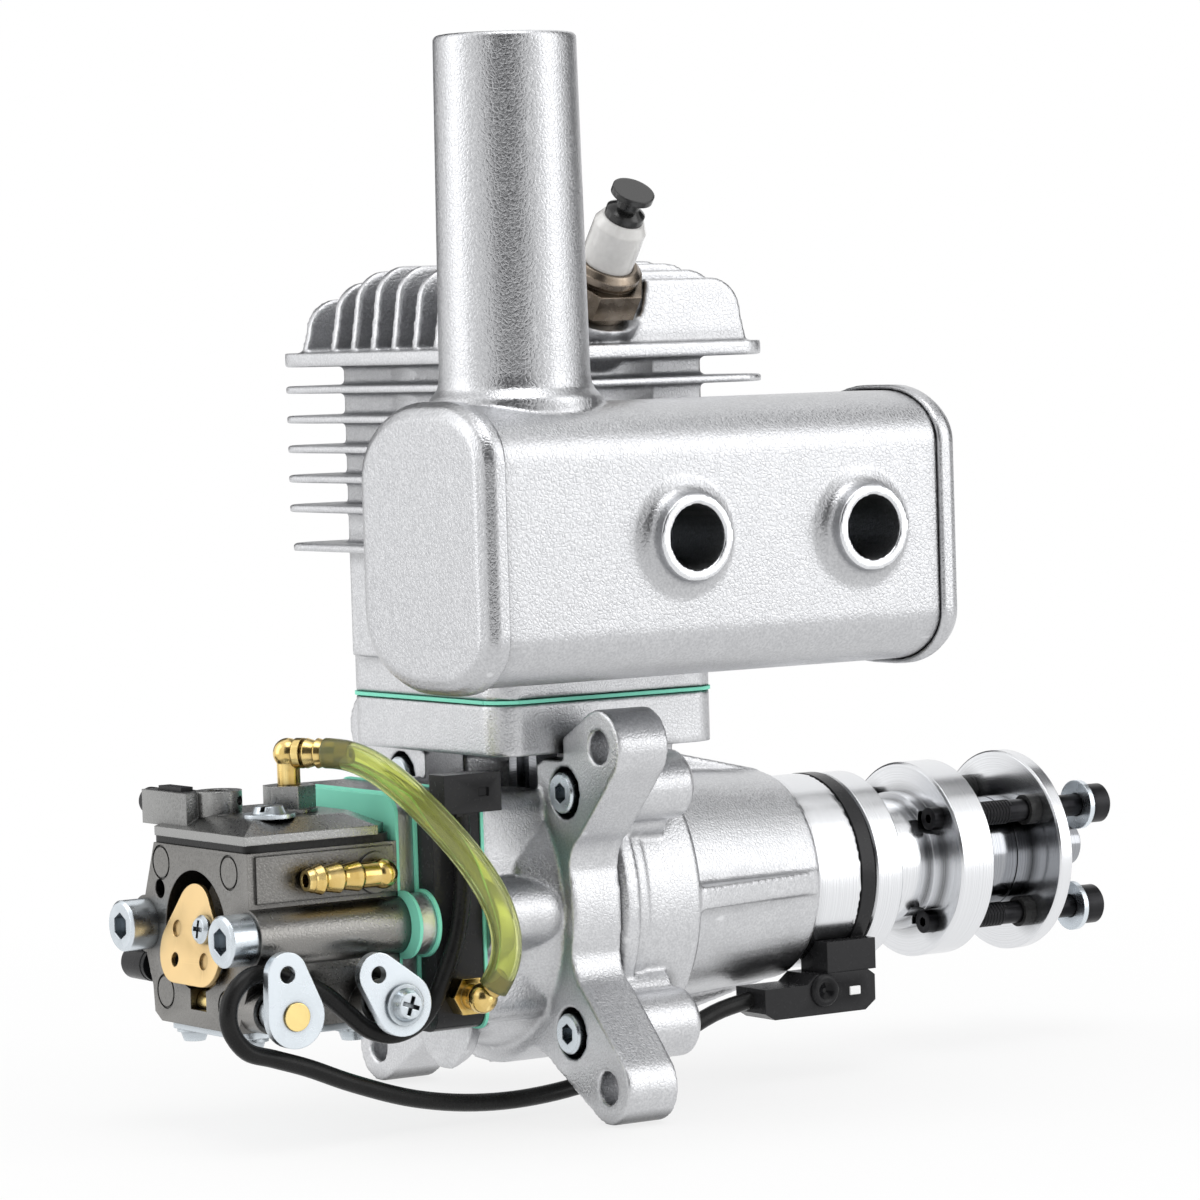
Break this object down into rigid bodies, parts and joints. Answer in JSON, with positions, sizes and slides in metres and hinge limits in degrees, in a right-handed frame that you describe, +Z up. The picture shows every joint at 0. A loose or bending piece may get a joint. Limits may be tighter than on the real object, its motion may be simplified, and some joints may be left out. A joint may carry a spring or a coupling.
{
  "type": "model aircraft engine",
  "caption": "Two-stroke model aircraft engine with finned cylinder, can muffler with side stack, rear carburettor, mounting lugs and a flanged propeller hub.",
  "frame": {"origin": "middle of the four lug holes, on the lugs' rear face, which lies on the crank axis", "axes": "+X along the crankshaft towards the propeller, +Z up along the cylinder, exhaust side -Y"},
  "size_m": [0.1914, 0.1178, 0.1772],
  "materials": {
    "cast_aluminium": "bead-blasted casting",
    "machined_aluminium": "turned bright",
    "zinc_steel": "zinc plated",
    "steel": "machined steel",
    "black_steel": "black oxide",
    "brass": "bright brass",
    "gasket_green": "mint green gasket paper",
    "black_plastic": "moulded, satin",
    "black_rubber": "smooth rubber",
    "hose_yellow": "translucent yellow fuel tubing",
    "white_ceramic": "glazed white"
  },
  "bodies": {
    "engine": {"crankcase": "cast_aluminium", "rear_cover": "cast_aluminium", "case_screws": "zinc_steel", "cylinder_block": "cast_aluminium", "base_gasket": "gasket_green", "base_screws": "zinc_steel", "plug_shell": "steel", "plug_insulator": "white_ceramic", "plug_terminal": "black_plastic", "muffler_body": "cast_aluminium", "muffler_caps": "cast_aluminium", "access_tubes": "cast_aluminium", "stack_pipe": "cast_aluminium", "exhaust_gasket": "steel", "muffler_screws": "zinc_steel", "reed_block": "black_plastic", "reed_petals": "steel", "inlet_gaskets": "gasket_green", "carb_spacer": "cast_aluminium", "carb_body": "cast_aluminium", "carb_diaphragm": "black_rubber", "carb_top_cover": "cast_aluminium", "cover_knob": "black_plastic", "carb_bottom_cover": "zinc_steel", "cover_screws": "zinc_steel", "carb_mount_screws": "zinc_steel", "fuel_barb": "brass", "pulse_elbow": "brass", "elbow_nut": "black_steel", "pulse_fitting": "brass", "pulse_hose": "hose_yellow", "idle_screw": "black_plastic", "sensor_ring": "black_plastic", "sensor_body": "black_plastic", "sensor_cable": "black_rubber", "cable_connector": "black_plastic", "main_bearings": "steel", "shaft_seal": "black_rubber"},
    "piston_group": {"piston": "machined_aluminium", "piston_ring": "steel", "wrist_pin": "steel", "connecting_rod": "steel", "rod_bearings": "brass", "crankpin": "steel"},
    "crank": {"crankshaft": "steel", "prop_hub": "machined_aluminium", "hub_magnet": "steel", "centre_boss": "steel", "prop_washer": "machined_aluminium", "prop_bolts": "black_steel", "prop_bolt_washers": "zinc_steel", "bolt_rings": "black_rubber"},
    "choke": {"choke_shaft": "brass", "choke_plate": "brass", "choke_plate_screw": "zinc_steel", "choke_lever": "zinc_steel"},
    "throttle": {"throttle_shaft": "steel", "throttle_plate": "brass", "throttle_lever": "zinc_steel", "throttle_screw": "zinc_steel"}
  },
  "joints": [
    {"name": "crank_spin", "type": "hinge", "parent": "engine", "child": "crank", "pos_m": [0.05, 0, 0], "axis": [1, 0, 0], "continuous": true},
    {"name": "piston_slide", "type": "slide", "parent": "engine", "child": "piston_group", "axis": [0, 0, 1], "range_m": [0, 0.029]},
    {"name": "choke_turn", "type": "hinge", "parent": "engine", "child": "choke", "pos_m": [-0.0526, 0, -0.012], "axis": [0, 1, 0], "range_deg": [-76, 0]},
    {"name": "throttle_turn", "type": "hinge", "parent": "engine", "child": "throttle", "pos_m": [-0.0324, 0, -0.012], "axis": [0, 1, 0], "range_deg": [0, 62]}
  ]
}
